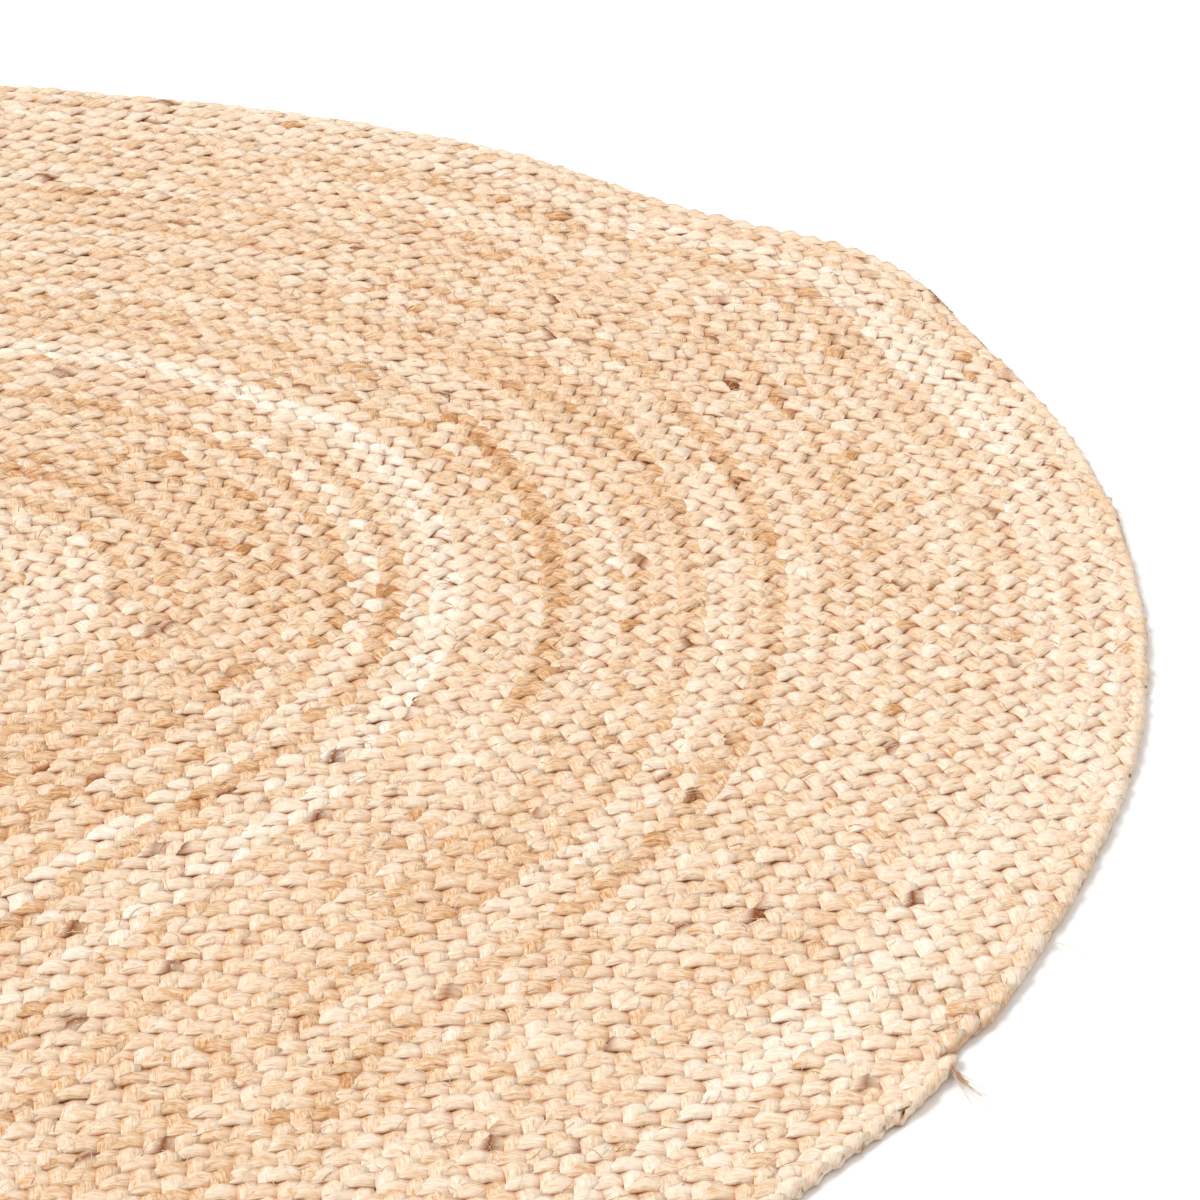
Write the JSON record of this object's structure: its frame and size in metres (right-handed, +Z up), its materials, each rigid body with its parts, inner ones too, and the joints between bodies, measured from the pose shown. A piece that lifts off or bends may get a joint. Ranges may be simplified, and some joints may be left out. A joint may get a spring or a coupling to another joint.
{
  "type": "area rug",
  "caption": "Oval braided jute rug: a flat three-strand plait coiled round a straight core, sewn edge to edge, with a narrowed tail at the end of the last lap.",
  "frame": {"origin": "middle of the underside, on the floor that the rug lies on", "axes": "+X along the rug's length towards the head, where the plait ends; +Y across its width; +Z up out of the face that is walked on"},
  "size_m": [2.3006, 1.5993, 0.009],
  "materials": {
    "jute_braid": "matte natural jute straw, cream to tan",
    "sewing_thread": "matte beige cotton"
  },
  "bodies": {
    "root": {"braid_core": "jute_braid", "lap_01": "jute_braid", "lap_02": "jute_braid", "lap_03": "jute_braid", "lap_04": "jute_braid", "lap_05": "jute_braid", "lap_06": "jute_braid", "lap_07": "jute_braid", "lap_08": "jute_braid", "lap_09": "jute_braid", "lap_10": "jute_braid", "lap_11": "jute_braid", "lap_12": "jute_braid", "lap_13": "jute_braid", "lap_14": "jute_braid", "lap_15": "jute_braid", "lap_16": "jute_braid", "lap_17": "jute_braid", "lap_18": "jute_braid", "lap_19": "jute_braid", "lap_20": "jute_braid", "lap_21": "jute_braid", "lap_22": "jute_braid", "lap_23": "jute_braid", "lap_24": "jute_braid", "lap_25": "jute_braid", "lap_26": "jute_braid", "lap_27": "jute_braid", "lap_28": "jute_braid", "lap_29": "jute_braid", "lap_30": "jute_braid", "lap_31": "jute_braid", "lap_32": "jute_braid", "lap_33": "jute_braid", "lap_34": "jute_braid", "lap_35": "jute_braid", "lap_36": "jute_braid", "lap_37": "jute_braid", "lap_38": "jute_braid", "lap_39": "jute_braid", "lap_40": "jute_braid", "lap_41": "jute_braid", "lap_42": "jute_braid", "lap_43": "jute_braid", "lap_44": "jute_braid", "lap_45": "jute_braid", "lap_46": "jute_braid", "braid_end": "jute_braid", "seam_thread": "sewing_thread"}
  },
  "joints": []
}
